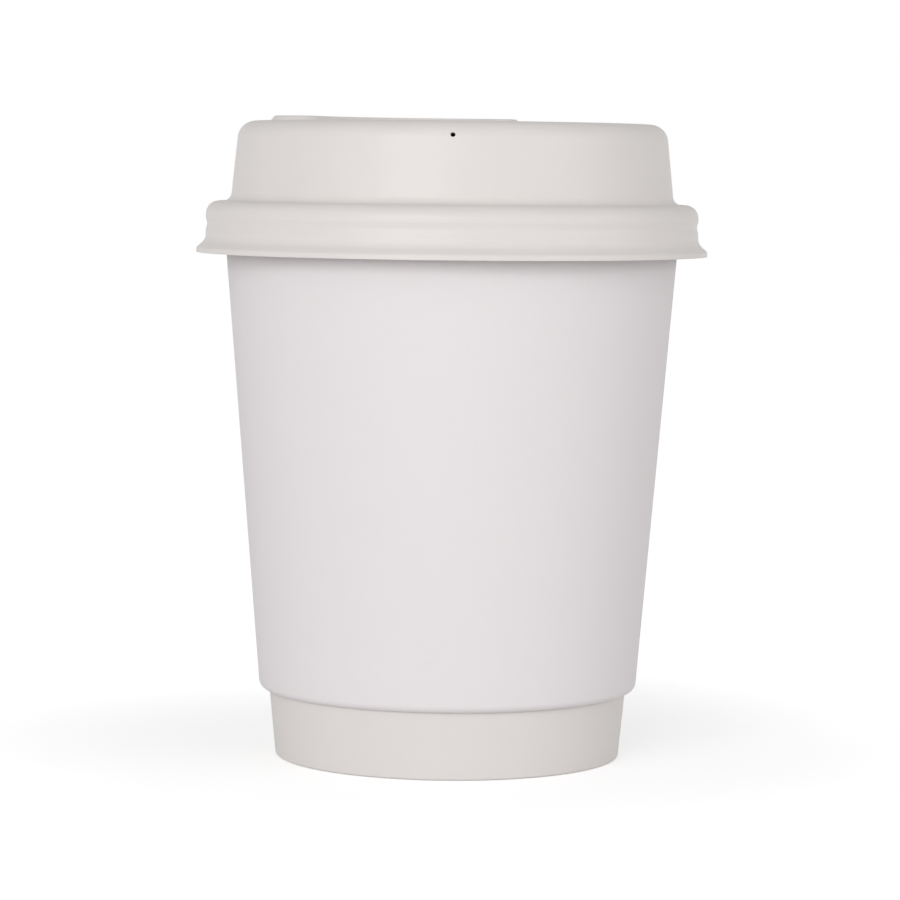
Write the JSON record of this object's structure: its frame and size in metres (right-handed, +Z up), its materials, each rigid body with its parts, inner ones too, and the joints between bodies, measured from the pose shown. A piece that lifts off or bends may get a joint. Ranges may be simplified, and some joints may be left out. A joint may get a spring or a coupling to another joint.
{
  "type": "paper coffee cup",
  "caption": "Double-wall paper coffee cup with a rolled rim, a turned-in lower edge and a domed plastic sip lid that lifts off.",
  "frame": {"origin": "centre of the ring that the cup stands on", "axes": "+Z up along the axis of the cup, -Y towards the vent hole at the front of the lid, +Y towards the paper seams"},
  "size_m": [0.0848, 0.0848, 0.1064],
  "materials": {
    "paper": "matte",
    "lid": "satin"
  },
  "bodies": {
    "cup": {"inner_wall": "paper", "bottom_disc": "paper", "outer_wall": "paper"},
    "lid": {"lid": "lid"}
  },
  "joints": [
    {"name": "lid_lift", "type": "slide", "parent": "cup", "child": "lid", "axis": [0, 0, 1], "range_m": [0, 0.03]}
  ]
}
